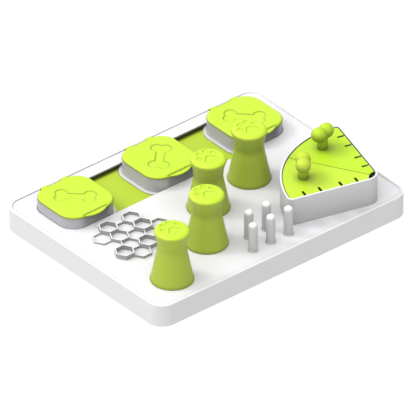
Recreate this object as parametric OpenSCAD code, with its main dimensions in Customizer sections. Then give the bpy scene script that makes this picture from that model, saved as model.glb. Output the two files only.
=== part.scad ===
// Dog puzzle feeder board: a shallow white casing that carries a row of sliding cups with flip lids,
// lift-off treat cones, a honeycomb maze, treat pegs and a fan-shaped well with two lift-out lids.
// Millimetres, +Z up. The origin is on the floor, under the middle of the casing.

/* [Casing] */
// Length of the casing, along X
base_l = 400; // [394:1:440]
// Width of the casing, along Y
base_w = 300; // [296:1:330]
// Plan radius of the casing's corners
base_corner_r = 21; // [16:0.5:26]
// Height of the casing, from its lower edge to the top of its rim
casing_h = 31; // [28:0.5:40]
// Thickness of the casing's side walls
casing_wall = 3; // [2:0.1:3.4]
// Width of the rim's flat top
rim_w = 3.5; // [3:0.1:5]
// Height of the rim above the deck
rim_h = 1; // [0.4:0.1:2]
// Rounding of the rim's outer edge
rim_edge_r = 1.2; // [0.4:0.1:2]
// Thickness of the deck
deck_t = 3; // [2.6:0.1:3.6]
// Thickness of the bottom plate
plate_t = 3; // [2.6:0.1:4]
// Clearance all round the bottom plate
plate_gap = 0.3; // [0.1:0.05:0.5]

/* [Rubber feet] */
// Radius of each foot
foot_r = 9; // [6:0.5:12]
// Thickness of each foot
foot_t = 2; // [1.6:0.1:2.4]
// How far a foot stands out below the casing
foot_proud = 1; // [0.6:0.1:1.3]
// Distance from the casing's sides to a foot's centre
foot_inset = 35; // [25:1:45]
// Clearance round a foot in its recess
foot_gap = 0.15; // [0.05:0.05:0.3]

/* [Cup track] */
// Distance from the casing's back to the middle line of the row of cups
row_back = 61.5; // [61:0.5:64]
// Depth from the deck's top to the track's floor
track_depth = 6.2; // [5.4:0.1:7.5]
// Thickness of the track's floor
track_floor = 2; // [1.4:0.1:3]
// Thickness of the track's side walls
track_wall = 2; // [1.4:0.1:2.4]
// Clearance between the cups' flanges and the track's walls
track_gap = 0.3; // [0.2:0.05:0.5]
// Width of the rail under the deck that keeps the flanges down
rail_w = 1.6; // [1:0.1:2]
// Distance from the slot's edge to that rail
rail_inset = 1.6; // [1:0.1:2]
// Clearance between the rail and the flanges
rail_gap = 0.3; // [0.15:0.05:0.5]

/* [Sliding cups] */
// Distance from the casing's ends to the end cups' middles at rest
cup_end = 65; // [64:0.5:80]
// Width of a cup, both ways
cup_w = 79; // [74:0.5:80]
// Plan radius of a cup's corners
cup_corner_r = 22.7; // [16:0.1:26]
// Thickness of a cup's wall
cup_wall = 2; // [1.5:0.1:2.4]
// Thickness of a cup's floor
cup_floor = 2; // [1.4:0.1:3]
// Height of a cup, from its floor's lower face to its rim
cup_h = 19.8; // [17:0.1:26]
// How far a cup's flange stands out from its wall
flange_w = 4.5; // [4:0.1:5.5]
// Thickness of the flange
flange_t = 1; // [0.8:0.1:1.4]
// Clearance between a cup's wall and the slot's long edges
slot_gap = 0.3; // [0.2:0.05:0.5]
// Clearance between an end cup's wall and the slot's end
slot_end_gap = 0.75; // [0.4:0.05:1.2]
// Clearance under a cup
slide_gap = 0.1; // [0.05:0.05:0.2]

/* [Flip lids] */
// How far a lid stands out beyond its cup
lid_over = 0.5; // [0.2:0.1:1]
// Thickness of a lid at its edge
lid_t = 3.5; // [3.2:0.1:5]
// Rounding of a lid's upper edge
lid_edge_r = 2.8; // [1.5:0.1:3]
// Clearance between a lid and its cup's rim
lid_gap = 0.3; // [0.2:0.05:0.5]
// Thickness of a lid's top skin
lid_skin = 2.2; // [1.8:0.1:2.6]
// Thickness of the lip inside a lid
lip_t = 1.4; // [1:0.1:2]
// Depth of the lip inside the cup
lip_depth = 1.7; // [1:0.1:3]
// Clearance between the lip and the cup's wall
lip_gap = 0.4; // [0.3:0.05:0.8]
// Reach of the finger tab beyond the lid's front edge
tab_reach = 4.5; // [3:0.1:6.5]
// Distance from the lid's front edge back to the tab's crease
tab_back = 2.5; // [2:0.1:5]
// Width of the tab along its crease
tab_w = 39.5; // [30:0.5:44]
// Thickness of the tab
tab_t = 1.8; // [1.4:0.1:2.4]
// Length between the bone picture's end lobes
bone_len = 35.8; // [28:0.1:40]
// Distance between the two lobes of one end
bone_spread = 10.6; // [9:0.1:13]
// Radius of the bone picture's lobes
bone_lobe_r = 7.6; // [6:0.1:8.5]
// Width of the bone picture's shaft
bone_shaft_w = 10.8; // [7:0.1:13]
// Depth of the pictures pressed into lids and cones
engrave = 0.8; // [0.4:0.1:1]

/* [Lid hinges] */
// Radius of a lid's hinge knuckles
knuckle_r = 2.6; // [2.3:0.1:2.9]
// Length of one knuckle
knuckle_l = 10; // [7:0.5:12]
// Distance from the lid's middle to a knuckle's middle
knuckle_x = 16; // [13:0.5:18]
// Distance of the hinge axis behind the cup's back wall
hinge_back = 1.2; // [1:0.1:1.6]
// Height of the hinge axis above the cup's rim
hinge_up = 0.5; // [0.3:0.1:0.8]
// Radius of the lug on the cup
lug_r = 2.4; // [2.1:0.1:2.6]
// Height of the gusset under the lug, from the hinge axis down
gusset_h = 7.7; // [5:0.1:9]
// Clearance at the ends and round the back of the hinge's pieces
hinge_gap = 0.4; // [0.3:0.05:0.5]
// Radius of the hinge pin
pin_r = 1.2; // [0.9:0.05:1.4]
// Radial clearance of the hinge pin
pin_gap = 0.05; // [0.02:0.01:0.08]

/* [Treat cones] */
// Distance from the casing's left end to the front cone's middle
front_cone_side = 56.5; // [50:0.5:60]
// Distance from the casing's front to the front cone's middle
front_cone_front = 44.5; // [38:0.5:50]
// Radius of a cone's foot band
cone_foot_r = 27; // [25:0.1:30]
// Height of a cone's foot band
cone_band_h = 1.5; // [1:0.1:3]
// Step between the foot band and the tapering side
cone_step = 0.6; // [0.2:0.1:1.2]
// Radius of a cone at its waist
cone_waist_r = 18; // [16:0.1:19]
// Height of a cone's waist above the deck
cone_waist_h = 45.5; // [40:0.5:52]
// Radius of a cone at its widest near the top
cone_top_r = 22.3; // [20.5:0.1:24]
// Height of a cone above the deck
cone_h = 73.5; // [66:0.5:80]
// Rounding of a cone's top edge
cone_edge_r = 4.8; // [3:0.1:6]
// Thickness of a cone's wall
cone_wall = 2.2; // [1.6:0.1:2.8]
// Width of the paw picture across its pad
paw_w = 19; // [14:0.5:21]
// Height of the raised seat that centres a cone
seat_h = 3; // [2.4:0.1:6]
// Depth of the treat dish in the seat
dish_depth = 1.5; // [0.8:0.1:2]
// Width of the seat's edge round the treat dish
dish_edge = 2; // [1:0.1:4]
// Clearance between the seat and the cone's foot
seat_gap = 0.8; // [0.6:0.1:1.2]

/* [Treat pegs] */
// Distance from the casing's front to the first row of pegs
peg_front = 28; // [20:0.5:30]
// Radius of a peg
peg_r = 5.8; // [4:0.1:7]
// Height of a peg
peg_h = 40.5; // [30:0.5:50]
// How far the foot of a peg flares out
peg_flare = 1; // [0.5:0.1:1.5]
// Distance between pegs of one row
peg_pitch = 28.3; // [24:0.1:32]
// Distance between the two rows of pegs
peg_row_pitch = 25; // [20:0.5:30]

/* [Honeycomb] */
// Distance from the casing's left end to the honeycomb's middle
comb_side = 64.1; // [62:0.1:68]
// Distance from the row of cups forwards to the honeycomb's middle, as a share of the casing's width
comb_fore = 0.283; // [0.277:0.001:0.293]
// Side length of a honeycomb cell
cell_a = 12.3; // [10:0.1:12.8]
// Thickness of the cells' walls
cell_wall = 1.4; // [1:0.1:2]
// Height of the lowest cell
cell_low = 2.5; // [1.5:0.1:3]
// Height of the middling cells
cell_mid = 3.5; // [3:0.1:4.4]
// Height of the higher cells
cell_high = 4.7; // [4.5:0.1:5.5]
// Height of the highest cells
cell_top = 6.3; // [5.6:0.1:8]

/* [Fan well] */
// Radius of the well, from its square corner to its round side
fan_r = 125; // [118:0.5:126]
// Distance from the casing's right end to the square corner
fan_side = 39.8; // [39:0.1:43]
// Distance from the casing's front to the square corner
fan_front = 6.7; // [6:0.1:11]
// Direction of the well's first straight side
fan_turn = 75; // [73:0.5:78]
// Height of the well above the deck
fan_h = 38.5; // [30:0.5:50]
// Thickness of the well's walls
fan_wall = 2.2; // [1.8:0.1:2.4]
// Thickness of the well's floor
fan_floor = 2; // [1.5:0.1:3]
// Rounding of the square corner
fan_corner_r = 17; // [13:0.5:19]
// Rounding where the round side meets the straight ones
fan_tip_r = 6.5; // [6.3:0.1:9]
// Width of the shelf that carries the lids
shelf_w = 4; // [2:0.1:4.2]
// Thickness of the shelf
shelf_t = 2; // [1.4:0.1:3]
// Depth of the shelf below the well's rim
shelf_depth = 3.5; // [3.2:0.1:5]
// Radius of the free space round the square corner, between the lids' tips
corner_gap_r = 17; // [15:0.5:21]
// How much further back the shelf ends there
shelf_back = 2; // [1:0.5:4]
// Thickness of the divider between the well's halves
divider_t = 2; // [1.4:0.1:3]
// Distance from the square corner to the divider's free end
divider_start = 24; // [20:1:40]

/* [Fan lids] */
// Thickness of a fan lid
fan_lid_t = 2.5; // [2:0.1:3]
// Clearance round the fan lids
fan_lid_gap = 1.1; // [0.5:0.05:1.3]
// Clearance between the two fan lids
seam_gap = 0.5; // [0.3:0.05:1]
// Width of the scent slots
scent_w = 2.8; // [1.8:0.1:3.4]
// Length of the scent slots
scent_l = 9.5; // [6:0.5:11]
// Distance of a knob from the well's round side
knob_back = 28.5; // [25:0.5:38]
// Radius of a knob's stem
stem_r = 6.75; // [5.5:0.05:7.5]
// How far the stem's foot flares out
stem_flare = 0.75; // [0.25:0.05:1.5]
// Radius of a knob's two balls
ball_r = 9.5; // [8:0.1:10]
// Distance between the two balls of a knob
ball_gap = 14; // [12:0.5:16]
// Height of the balls' middles above the lid
ball_h = 22.5; // [19:0.5:26]

/* [Screws] */
// Radius of a screw's shank
screw_r = 1.2; // [1:0.05:1.4]
// Radius of a screw's head
head_r = 2.7; // [2.2:0.1:3]
// Height of a screw's head
head_h = 1.6; // [1.2:0.1:1.9]
// Clearance of a screw in its pilot hole
thread_gap = 0.05; // [0.02:0.01:0.1]
// Clearance of a screw where it passes through a piece
pass_gap = 0.4; // [0.3:0.05:0.6]
// Thickness of plastic round a pilot hole
boss_wall = 2.6; // [2:0.1:3]
// Distance between a casing boss and the casing's wall
boss_off = 2; // [1:0.5:4]
// Clearance round a boss that stands in another piece
boss_gap = 0.2; // [0.1:0.05:0.4]
// How far a pilot hole runs past its screw
pilot_past = 0.6; // [0.2:0.1:1]
// Length of a casing screw inside its boss
casing_bite = 8.5; // [6:0.5:12]
// Length of a track screw inside its boss
track_bite = 4; // [3:0.1:4.3]
// Length of a well screw above the deck
well_bite = 7; // [5:0.5:10]
// Length of a knob screw inside the knob
knob_bite = 11; // [8:0.5:14]
// X of the screws in the casing's long sides
long_screw_x = 60; // [45:1:75]
// Y of the screws in the casing's short sides
short_screw_y = -30; // [-45:1:-15]
// X of the outer track screws
track_screw_x = 120; // [100:1:130]
// Distance of the well's first screws from the square corner
well_screw_in = 40; // [34:1:50]
// Distance of the well's other screws from its round side
well_screw_out = 20; // [14:1:30]

/* [Hidden] */
$fn = 64;

white = "#f4f4f2";
lime = "#c8ee3c";
olive = "#a9c24a";
grey = "#c9c9cc";
steel = "#9a9ca0";
black = "#303032";

// Margin that a cut runs past a face
cut = 1;

// Levels
z_low = foot_proud;
z_rim = z_low + casing_h;
z_deck = z_rim - rim_h;
z_under = z_deck - deck_t;
z_track = z_deck - track_depth;
z_cup = z_track + slide_gap;
z_cup_rim = z_cup + cup_h;
z_lid = z_cup_rim + lid_gap;
z_lid_top = z_lid + lid_t;
z_hinge = z_cup_rim + hinge_up;
z_shelf = z_deck + fan_h - shelf_depth;
z_fan_lid = z_shelf + fan_lid_t;

// Cup row
row_y = base_w / 2 - row_back;
cup_pitch = base_l / 2 - cup_end;
cup_x = [-cup_pitch, 0, cup_pitch];
slot_w = cup_w + 2 * slot_gap;
slot_l = 2 * cup_pitch + cup_w + 2 * slot_end_gap;
slot_r = cup_corner_r + slot_gap;
cup_in_w = cup_w - 2 * cup_wall;
cup_in_r = cup_corner_r - cup_wall;
flange_out = cup_w + 2 * flange_w;
track_in_w = flange_out + 2 * track_gap;
track_in_l = slot_l + 2 * flange_w;
track_r = cup_corner_r + flange_w + track_gap;
lid_w = cup_w + 2 * lid_over;
y_lid_front = row_y - lid_w / 2;
y_hinge = row_y + cup_w / 2 + hinge_back;
pin_l = 2 * knuckle_x + knuckle_l;
lug_l = 2 * knuckle_x - knuckle_l - 2 * hinge_gap;

// Places of screws and feet
boss_r = screw_r + thread_gap + boss_wall;
side_inset = casing_wall + boss_r + boss_off;
corner_inset = side_inset + 0.21 * base_corner_r;
casing_screw_at = [for (sx = [-1, 1], sy = [-1, 1])
        each [[sx * (base_l / 2 - corner_inset), sy * (base_w / 2 - corner_inset)],
            [sx * long_screw_x, sy * (base_w / 2 - side_inset)]],
    for (sx = [-1, 1]) [sx * (base_l / 2 - side_inset), short_screw_y]];
ear_y = track_in_w / 2 + track_wall + boss_r - boss_gap;
track_screw_at = [for (k = [-1, 0, 1], s = [-1, 1]) [k * track_screw_x, row_y + s * ear_y]];
well_screw_d = fan_wall + boss_r - boss_gap;
well_screw_at = [for (d = [well_screw_in, fan_r - well_screw_out]) each [[d, well_screw_d], [well_screw_d, d]]];
foot_at = [for (sx = [-1, 1], sy = [-1, 1]) [sx * (base_l / 2 - foot_inset), sy * (base_w / 2 - foot_inset)]];

// Treat cones, pegs and honeycomb
// Places of the other cones, as shares of the casing's length and width
cone_share = [[-0.15125, -0.24167], [-0.0225, -0.04833], [0.17625, 0.00833]];
cone_at = [[front_cone_side - base_l / 2, front_cone_front - base_w / 2],
    for (s = cone_share) [s.x * base_l, s.y * base_w]];
cone_shoulder = cone_h - cone_edge_r;
flare_out = cone_top_r - cone_waist_r;
flare_h = cone_shoulder - cone_waist_h;
flare_r = (pow(flare_out, 2) + pow(flare_h, 2)) / (2 * flare_out);
seat_r = cone_foot_r - cone_step - cone_wall - seat_gap;
peg_middle = [0.0005 * base_l, peg_front - base_w / 2];
peg_at = [for (k = [-1:1]) [peg_middle.x + k * peg_pitch, peg_middle.y],
    for (k = [-0.5, 0.5]) [peg_middle.x + k * peg_pitch, peg_middle.y + peg_row_pitch]];
comb_middle = [comb_side - base_l / 2, row_y - comb_fore * base_w];
// Cells as [column, row, height]; odd columns lie half a row higher
cells_back_left = [[0, 1, cell_top], [0, 0, cell_high]];
cells_back_right = [[2, 1, cell_high], [2, 0, cell_top]];
cells_front_left = [[-1, -2, cell_top]];
cells_front_right = [[1, -2, cell_top]];
cells_low = [[-1, 0, cell_low], [1, 0, cell_mid], [1, -1, cell_mid], [0, -1, cell_mid], [0, -2, cell_mid],
    [2, -1, cell_mid], [3, -1, cell_mid]];

// Fan well: its square corner, the middle of the rounding at a tip, and the direction in which it lies
fan_x = base_l / 2 - fan_side;
fan_y = fan_front - base_w / 2;
tip_x = sqrt(pow(fan_r - fan_tip_r, 2) - pow(fan_tip_r, 2));
tip_turn = asin(fan_tip_r / (fan_r - fan_tip_r));
// Distances of the scent slots and of a knob from the square corner, and the place of a knob
scent_at = [30.9, 52.1, 79.9, 101.5];
knob_turn = 24;
knob_at = fan_r - knob_back;
knob_xy = knob_at * [cos(knob_turn), sin(knob_turn)];

function cell_xy(c) = [comb_middle.x + c[0] * 1.5 * cell_a,
    comb_middle.y + (c[1] + (abs(c[0]) % 2) / 2) * sqrt(3) * cell_a];

// Rectangle with round corners, about the origin
module round_rect(l, w, r) {
    square([l - 2 * r, w], center = true);
    square([l, w - 2 * r], center = true);
    for (sx = [-1, 1], sy = [-1, 1])
        translate([sx * (l / 2 - r), sy * (w / 2 - r)])
            circle(r);
}

module slab(l, w, r, h) {
    linear_extrude(h)
        round_rect(l, w, r);
}

// Side view of a slab with a round upper edge, from the middle of its corner outwards
module edge_profile(r, h, e) {
    intersection() {
        union() {
            square([r, h - e]);
            square([r - e, h]);
            translate([r - e, h - e])
                circle(e, $fn = 32);
        }
        square([r, h]);
    }
}

// Slab with round corners and a round upper edge: a corner and a strip for each side, round a block
module soft_slab(l, w, r, h, e) {
    for (k = [0:3]) {
        across = k % 2 == 0 ? [l, w] : [w, l];
        rotate(90 * k) {
            translate([across.x / 2 - r, across.y / 2 - r, 0])
                rotate_extrude(angle = 90)
                    edge_profile(r, h, e);
            translate([-across.x / 2 + r, across.y / 2 - r, 0])
                rotate([90, 0, 90])
                    linear_extrude(across.x - 2 * r)
                        edge_profile(r, h, e);
        }
    }
    translate([0, 0, h / 2])
        cube([l - 2 * r, w - 2 * r, h], center = true);
}

// Screw with its head down; the head's lower face is at the origin
module screw(length) {
    cylinder(r = head_r, h = head_h);
    cylinder(r = screw_r, h = head_h + length);
}

module pilot_hole(bite) {
    cylinder(r = screw_r + thread_gap, h = bite + pilot_past);
}

// Bone picture, along the X axis
module bone_2d() {
    square([bone_len, bone_shaft_w], center = true);
    for (sx = [-1, 1], sy = [-1, 1])
        translate([sx * bone_len / 2, sy * bone_spread / 2])
            circle(bone_lobe_r);
}

// Paw picture, its toes to the back
module paw_2d() {
    for (s = [-1, 1]) {
        translate([s * 0.56 * paw_w, 0.24 * paw_w])
            circle(0.16 * paw_w);
        translate([s * 0.25 * paw_w, 0.64 * paw_w])
            circle(0.17 * paw_w);
        translate([s * 0.26 * paw_w, -0.34 * paw_w])
            circle(0.22 * paw_w);
    }
    translate([0, -0.14 * paw_w])
        circle(0.3 * paw_w);
}

// Casing, with the slot of the cups and the bosses under the deck

module top_shell() {
    color(white)
        difference() {
            union() {
                difference() {
                    translate([0, 0, z_low])
                        soft_slab(base_l, base_w, base_corner_r, casing_h, rim_edge_r);
                    translate([0, 0, z_deck])
                        slab(base_l - 2 * rim_w, base_w - 2 * rim_w, base_corner_r - rim_w, rim_h + cut);
                    translate([0, 0, z_low - cut])
                        slab(base_l - 2 * casing_wall, base_w - 2 * casing_wall, base_corner_r - casing_wall,
                            z_under - z_low + cut);
                }
                slot_rail();
                for (p = casing_screw_at)
                    translate([p.x, p.y, z_low + plate_t])
                        cylinder(r = boss_r, h = z_under + cut - z_low - plate_t);
                for (p = track_screw_at)
                    translate([p.x, p.y, z_track])
                        cylinder(r = boss_r, h = z_under + cut - z_track);
            }
            translate([0, row_y, z_track - cut])
                slab(slot_l, slot_w, slot_r, track_depth + 2 * cut);
            for (p = casing_screw_at)
                translate([p.x, p.y, z_low + head_h])
                    pilot_hole(plate_t - head_h + casing_bite);
            for (p = track_screw_at)
                translate([p.x, p.y, z_track - cut])
                    pilot_hole(cut + track_bite);
            fan_place()
                for (p = well_screw_at)
                    translate([p.x, p.y, z_under - cut])
                        cylinder(r = screw_r + pass_gap, h = deck_t + 2 * cut);
        }
}

// Rail round the slot, under the deck
module slot_rail() {
    low = z_cup + flange_t + rail_gap;
    inner = 2 * rail_inset;
    outer = inner + 2 * rail_w;
    translate([0, row_y, low])
        difference() {
            slab(slot_l + outer, slot_w + outer, slot_r + outer / 2, z_under + cut - low);
            translate([0, 0, -cut])
                slab(slot_l + inner, slot_w + inner, slot_r + inner / 2, z_under + cut - low);
        }
}

module bottom_plate() {
    inset = casing_wall + plate_gap;
    color(white)
        difference() {
            translate([0, 0, z_low])
                slab(base_l - 2 * inset, base_w - 2 * inset, base_corner_r - inset, plate_t);
            for (p = casing_screw_at)
                translate([p.x, p.y, z_low - cut]) {
                    cylinder(r = head_r + pass_gap, h = cut + head_h);
                    cylinder(r = screw_r + pass_gap, h = plate_t + 2 * cut);
                }
            for (p = foot_at)
                translate([p.x, p.y, z_low - cut])
                    cylinder(r = foot_r + foot_gap, h = cut + foot_t - foot_proud);
        }
}

module rubber_feet() {
    color(black)
        for (p = foot_at)
            translate([p.x, p.y, 0])
                cylinder(r = foot_r, h = foot_t);
}

module casing_screws() {
    color(steel)
        for (p = casing_screw_at)
            translate([p.x, p.y, z_low])
                screw(plate_t - head_h + casing_bite);
}

// Tray under the slot, in which the cups' flanges slide

module slide_track() {
    color(lime)
        difference() {
            union() {
                translate([0, row_y, z_track - track_floor])
                    slab(track_in_l + 2 * track_wall, track_in_w + 2 * track_wall, track_r + track_wall,
                        z_under - z_track + track_floor);
                for (p = track_screw_at)
                    translate([p.x, p.y, z_track - track_floor])
                        cylinder(r = boss_r, h = track_floor);
            }
            translate([0, row_y, z_track])
                slab(track_in_l, track_in_w, track_r, z_under - z_track + cut);
            for (p = track_screw_at) {
                translate([p.x, p.y, z_track - track_floor - cut])
                    cylinder(r = screw_r + pass_gap, h = track_floor + 2 * cut);
                translate([p.x, p.y, z_track])
                    cylinder(r = boss_r + boss_gap, h = z_under - z_track + cut);
            }
        }
}

module track_screws() {
    color(steel)
        for (p = track_screw_at)
            translate([p.x, p.y, z_track - track_floor - head_h])
                screw(track_floor + track_bite);
}

// Sliding cups, their lids and hinges

module cup(x) {
    color(grey)
        translate([x, 0, 0])
            difference() {
                union() {
                    translate([0, row_y, z_cup])
                        slab(flange_out, flange_out, cup_corner_r + flange_w, flange_t);
                    translate([0, row_y, z_cup])
                        slab(cup_w, cup_w, cup_corner_r, cup_h);
                    hinge_lug();
                }
                translate([0, row_y, z_cup + cup_floor])
                    slab(cup_in_w, cup_in_w, cup_in_r, cup_h);
                for (s = [-1, 1])
                    hinge_rod(s * knuckle_x, knuckle_l + 2 * hinge_gap, knuckle_r + hinge_gap);
                hinge_rod(0, pin_l + 2 * cut, pin_r + pin_gap);
            }
}

// Round rod on the hinge axis, its middle at x
module hinge_rod(x, length, r) {
    translate([x, y_hinge, z_hinge])
        rotate([0, 90, 0])
            cylinder(r = r, h = length, center = true);
}

// Lug on the cup's back wall, between the lid's knuckles, on a sloped gusset
module hinge_lug() {
    y_wall = row_y + cup_w / 2 - cup_wall / 2;
    y_back = y_hinge + lug_r;
    hinge_rod(0, lug_l, lug_r);
    translate([lug_l / 2, 0, 0])
        rotate([0, -90, 0])
            linear_extrude(lug_l)
                polygon([[z_hinge, y_wall], [z_hinge, y_back], [z_hinge - lug_r, y_back],
                    [z_hinge - gusset_h, y_wall]]);
}

module lid(x, tilt) {
    color(lime)
        translate([x, 0, 0])
            difference() {
                union() {
                    difference() {
                        translate([0, row_y, z_lid])
                            soft_slab(lid_w, lid_w, cup_corner_r + lid_over, lid_t, lid_edge_r);
                        translate([0, row_y, z_lid - cut])
                            slab(cup_in_w, cup_in_w, cup_in_r, cut + lid_t - lid_skin);
                        translate([0, 0, z_lid + tab_t])
                            linear_extrude(lid_t)
                                tab_2d(tab_back);
                    }
                    translate([0, 0, z_lid])
                        linear_extrude(tab_t)
                            tab_2d(lid_edge_r);
                    lid_lip();
                    for (s = [-1, 1])
                        hinge_rod(s * knuckle_x, knuckle_l, knuckle_r);
                }
                hinge_rod(0, lug_l + 2 * hinge_gap, lug_r + hinge_gap);
                hinge_rod(0, pin_l + 2 * cut, pin_r + pin_gap);
                translate([0, row_y, z_lid_top - engrave])
                    linear_extrude(engrave + cut)
                        rotate(tilt)
                            bone_2d();
            }
}

// Plan of the finger tab: a round outline cut off straight, back from the lid's front edge
module tab_2d(back) {
    depth = tab_reach + tab_back;
    r = (pow(tab_w / 2, 2) + pow(depth, 2)) / (2 * depth);
    intersection() {
        translate([0, y_lid_front - tab_reach + r])
            circle(r, $fn = 96);
        translate([-r, y_lid_front + back - 2 * r])
            square(2 * r);
    }
}

// Lip under the lid that sits inside the cup
module lid_lip() {
    out = cup_in_w - 2 * lip_gap;
    r = cup_in_r - lip_gap;
    low = z_cup_rim - lip_depth;
    high = z_lid_top - lid_skin;
    translate([0, row_y, low])
        difference() {
            slab(out, out, r, high + cut - low);
            translate([0, 0, -cut])
                slab(out - 2 * lip_t, out - 2 * lip_t, r - lip_t, high + cut - low);
        }
}

module hinge_pin(x) {
    color(steel)
        translate([x, 0, 0])
            hinge_rod(0, pin_l, pin_r);
}

// Treat cones

// Side view of a cone, drawn in by inset: foot band, tapering side, waist, flare and round top
module cone_profile(inset, low) {
    side_r = cone_foot_r - cone_step - inset;
    polygon([[0, low], [cone_foot_r - inset, low], [cone_foot_r - inset, cone_band_h],
        [side_r, cone_band_h], [cone_waist_r - inset, cone_waist_h], [0, cone_waist_h]]);
    difference() {
        translate([0, cone_waist_h])
            square([cone_top_r - inset, flare_h]);
        translate([cone_waist_r + flare_r, cone_waist_h])
            circle(flare_r + inset, $fn = 180);
    }
    translate([0, cone_shoulder])
        square([cone_top_r - cone_edge_r, cone_edge_r - inset]);
    translate([cone_top_r - cone_edge_r, cone_shoulder])
        circle(cone_edge_r - inset);
}

module cone(c) {
    color(olive)
        translate([c.x, c.y, z_deck])
            difference() {
                rotate_extrude($fn = 96)
                    cone_profile(0, 0);
                rotate_extrude($fn = 96)
                    cone_profile(cone_wall, -cut);
                translate([0, 0, cone_h - engrave])
                    linear_extrude(engrave + cut)
                        paw_2d();
            }
}

// Raised seats on the deck that centre the cones, each with a shallow dish for a treat
module treat_seats() {
    color(white)
        for (c = cone_at)
            translate([c.x, c.y, z_deck])
                difference() {
                    cylinder(r = seat_r, h = seat_h);
                    translate([0, 0, seat_h - dish_depth])
                        cylinder(r = seat_r - dish_edge, h = dish_depth + cut);
                }
}

// Pegs and honeycomb on the deck

// Round foot that flares out by the given amount
module flared_foot(r, flare) {
    cylinder(r1 = r + flare, r2 = r, h = 2.5 * flare);
}

module treat_pegs() {
    color(white)
        for (p = peg_at)
            translate([p.x, p.y, z_deck]) {
                flared_foot(peg_r, peg_flare);
                cylinder(r = peg_r, h = peg_h - peg_r);
                translate([0, 0, peg_h - peg_r])
                    sphere(peg_r);
            }
}

// Hexagonal prism about a cell, its sides half a wall out from the cell's own hexagon, or half in
module cell_block(c, h, side) {
    p = cell_xy(c);
    translate([p.x, p.y, z_deck])
        cylinder(r = cell_a + side * cell_wall / sqrt(3), h = h, $fn = 6);
}

module cell_rings(cells) {
    difference() {
        for (c = cells)
            cell_block(c, c[2], 1);
        for (c = cells)
            translate([0, 0, -cut])
                cell_block(c, c[2] + 2 * cut, -1);
    }
}

module comb(cells) {
    color(white)
        cell_rings(cells);
}

// The low cells lean on the high ones, which own the walls that both share
module comb_low() {
    color(white)
        difference() {
            cell_rings(cells_low);
            for (group = [cells_back_left, cells_back_right, cells_front_left, cells_front_right], c = group)
                translate([0, 0, -cut])
                    cell_block(c, c[2] + 2 * cut, 1);
        }
}

// Fan well, drawn with its square corner at the origin and its straight sides along X and Y

module fan_place() {
    translate([fan_x, fan_y, 0])
        rotate(fan_turn)
            children();
}

// Outline of the fan, drawn in by inset; each rounding keeps its own middle
module fan_2d(inset) {
    r = fan_r - inset;
    difference() {
        intersection() {
            circle(r, $fn = 180);
            translate([inset, inset])
                square(r);
        }
        translate([inset - cut, inset - cut])
            square(fan_corner_r - inset + cut);
        fan_tip_cut();
        mirror([1, -1])
            fan_tip_cut();
    }
    translate([fan_corner_r, fan_corner_r])
        circle(fan_corner_r - inset);
    translate([tip_x, fan_tip_r])
        circle(fan_tip_r - inset);
    translate([fan_tip_r, tip_x])
        circle(fan_tip_r - inset);
}

module fan_tip_cut() {
    far = 1.5 * fan_r;
    polygon([[tip_x, -cut], [tip_x, fan_tip_r], [far * cos(tip_turn), far * sin(tip_turn)], [far, -cut]]);
}

module fan_slab(inset, z, h) {
    translate([0, 0, z])
        linear_extrude(h)
            fan_2d(inset);
}

module fan_well() {
    color(white)
        fan_place()
            difference() {
                union() {
                    difference() {
                        fan_slab(0, z_deck, fan_h);
                        fan_slab(fan_wall, z_deck + fan_floor, fan_h);
                    }
                    fan_shelf();
                    fan_divider();
                    for (p = well_screw_at)
                        translate([p.x, p.y, z_deck])
                            cylinder(r = boss_r, h = well_bite + pilot_past + fan_floor);
                }
                for (p = well_screw_at)
                    translate([p.x, p.y, z_deck - cut])
                        pilot_hole(cut + well_bite);
            }
}

// Shelf along the walls, open round the square corner
module fan_shelf() {
    low = z_shelf - shelf_t;
    difference() {
        fan_slab(fan_wall / 2, low, shelf_t);
        fan_slab(fan_wall + shelf_w, low - cut, shelf_t + 2 * cut);
        translate([0, 0, low - cut])
            cylinder(r = corner_gap_r + shelf_back, h = shelf_t + 2 * cut);
    }
}

// Wall between the well's two halves, up to the lids
module fan_divider() {
    rotate(45)
        translate([divider_start, -divider_t / 2, z_deck + fan_floor / 2])
            cube([fan_r - fan_wall / 2 - divider_start, divider_t, z_shelf - z_deck - fan_floor / 2]);
}

module well_screws() {
    color(steel)
        fan_place()
            for (p = well_screw_at)
                translate([p.x, p.y, z_under - head_h])
                    screw(deck_t + well_bite);
}

// Lid of the half next to the X side
module fan_lid() {
    inset = fan_wall + fan_lid_gap;
    color(lime)
        difference() {
            union() {
                translate([0, 0, z_shelf])
                    linear_extrude(fan_lid_t)
                        difference() {
                            fan_2d(inset);
                            rotate(45)
                                translate([-fan_r, -seam_gap / 2])
                                    square(2 * fan_r);
                            circle(corner_gap_r);
                            for (d = scent_at)
                                translate([d - scent_w / 2, inset - cut])
                                    square([scent_w, scent_l + cut]);
                        }
                translate([knob_xy.x, knob_xy.y, z_shelf - head_h])
                    cylinder(r = head_r + boss_wall, h = head_h + fan_lid_t / 2);
            }
            translate([knob_xy.x, knob_xy.y, z_shelf - head_h - cut]) {
                cylinder(r = head_r + pass_gap, h = head_h + cut);
                cylinder(r = screw_r + pass_gap, h = head_h + fan_lid_t + 2 * cut);
            }
        }
}

// Knob like the end of a bone: a stem with two balls
module bone_knob() {
    color(lime)
        translate([knob_xy.x, knob_xy.y, z_fan_lid])
            rotate(knob_turn)
                difference() {
                    union() {
                        flared_foot(stem_r, stem_flare);
                        cylinder(r = stem_r, h = ball_h);
                        for (s = [-1, 1])
                            translate([0, s * ball_gap / 2, ball_h])
                                sphere(ball_r);
                    }
                    translate([0, 0, -cut])
                        pilot_hole(cut + knob_bite);
                }
}

module knob_screw() {
    color(steel)
        translate([knob_xy.x, knob_xy.y, z_shelf - head_h])
            screw(fan_lid_t + knob_bite);
}

// The right half lies next to the well's X side, and the left half is its mirror image
module right_half() {
    fan_place()
        children();
}

module left_half() {
    fan_place()
        mirror([1, -1, 0])
            children();
}

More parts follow.
